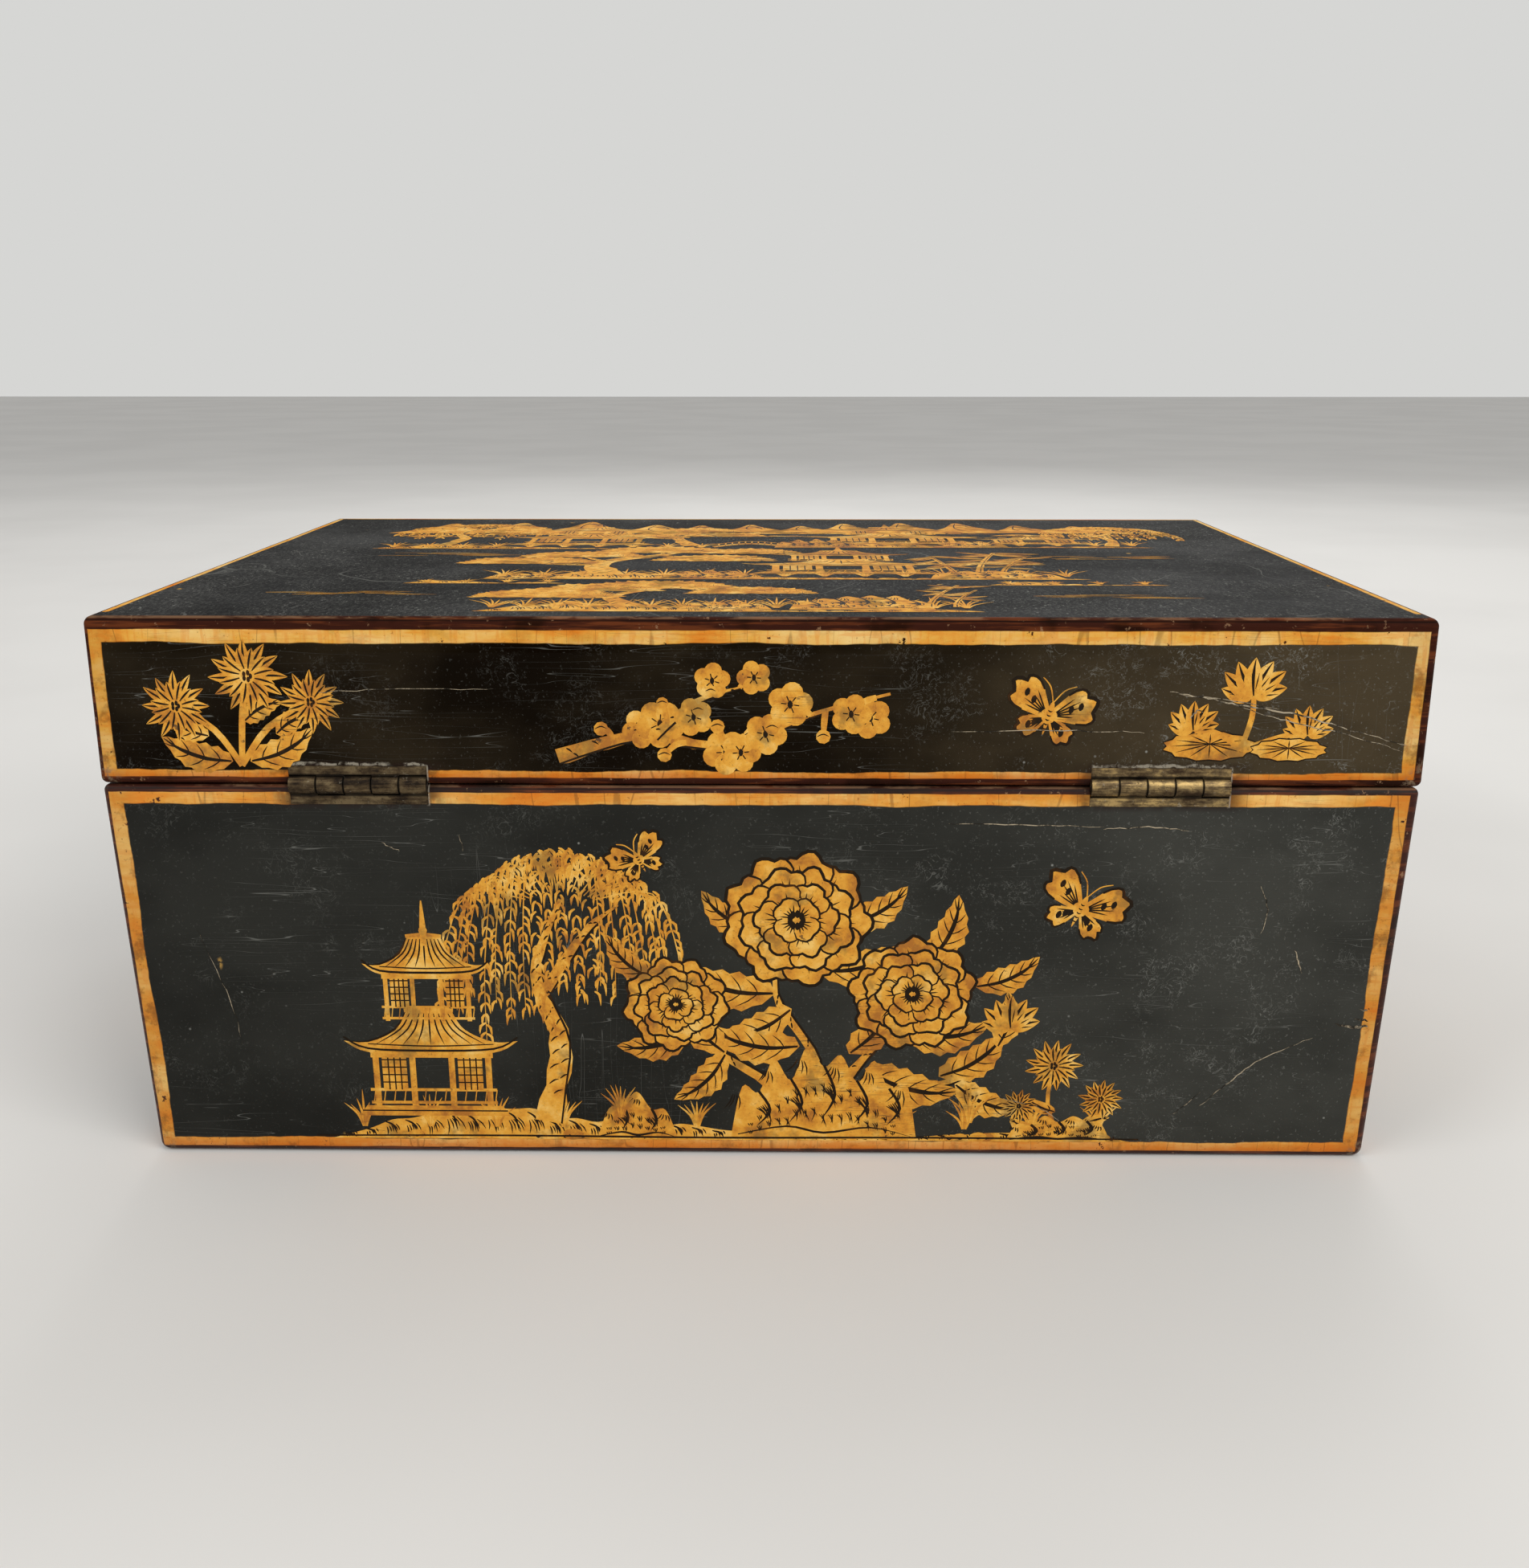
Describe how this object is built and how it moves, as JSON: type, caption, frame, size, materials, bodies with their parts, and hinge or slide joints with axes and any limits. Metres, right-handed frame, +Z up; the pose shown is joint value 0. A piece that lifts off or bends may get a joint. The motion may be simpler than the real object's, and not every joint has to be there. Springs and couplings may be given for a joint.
{
  "type": "jewelry box",
  "caption": "Rectangular japanned wooden jewelry box with gently leaning walls, a hinged lid on brass butt hinges, a box lock and a lift-out compartment tray.",
  "frame": {"origin": "centre of the case's underside, on the surface it stands on", "axes": "+X along the box's length, +Y from the hinged back to the lock side, +Z up"},
  "size_m": [0.305, 0.2085, 0.1353],
  "materials": {
    "japanned_wood": "black japan with ochre penwork, worn satin",
    "bare_wood": "bare aged pine",
    "tray_wood": "waxed, satin",
    "velvet": "faded crimson velvet",
    "ribbon": "silk ribbon",
    "aged_brass": "aged olive-brown",
    "iron": "dull dark iron"
  },
  "bodies": {
    "case": {"body_back_board": "japanned_wood", "body_front_board": "japanned_wood", "body_left_board": "japanned_wood", "body_right_board": "japanned_wood", "bottom_board": "bare_wood", "left_tray_bearer": "bare_wood", "right_tray_bearer": "bare_wood", "floor_pad": "velvet", "left_hinge_body_leaf": "aged_brass", "left_hinge_pin": "iron", "right_hinge_body_leaf": "aged_brass", "right_hinge_pin": "iron", "hinge_body_screws": "aged_brass", "lock_case": "aged_brass", "lock_cap": "aged_brass", "lock_screws": "aged_brass", "keyhole_escutcheon": "aged_brass"},
    "lid": {"lid_back_rail": "japanned_wood", "lid_front_rail": "japanned_wood", "lid_left_rail": "japanned_wood", "lid_right_rail": "japanned_wood", "lid_top_board": "japanned_wood", "lid_pad": "velvet", "left_hinge_lid_leaf": "aged_brass", "right_hinge_lid_leaf": "aged_brass", "hinge_lid_screws": "aged_brass", "link_plate": "aged_brass", "link_screws": "aged_brass"},
    "bolt": {"lock_bolt": "iron"},
    "tray": {"tray_back_side": "tray_wood", "tray_front_side": "tray_wood", "tray_left_side": "tray_wood", "tray_right_side": "tray_wood", "tray_bottom": "tray_wood", "tray_long_divider": "tray_wood", "tray_cross_dividers": "tray_wood", "tray_pads": "velvet", "ring_cushion": "velvet", "tray_pulls": "ribbon"}
  },
  "joints": [
    {"name": "lid_hinge", "type": "hinge", "parent": "case", "child": "lid", "pos_m": [0, -0.1026, 0.09615], "axis": [1, 0, 0], "range_deg": [0, 98]},
    {"name": "bolt_slide", "type": "slide", "parent": "case", "child": "bolt", "axis": [1, 0, 0], "range_m": [0, 0.0046]},
    {"name": "tray_slide", "type": "slide", "parent": "case", "child": "tray", "axis": [0, 0, 1], "range_m": [0, 0.02]}
  ]
}
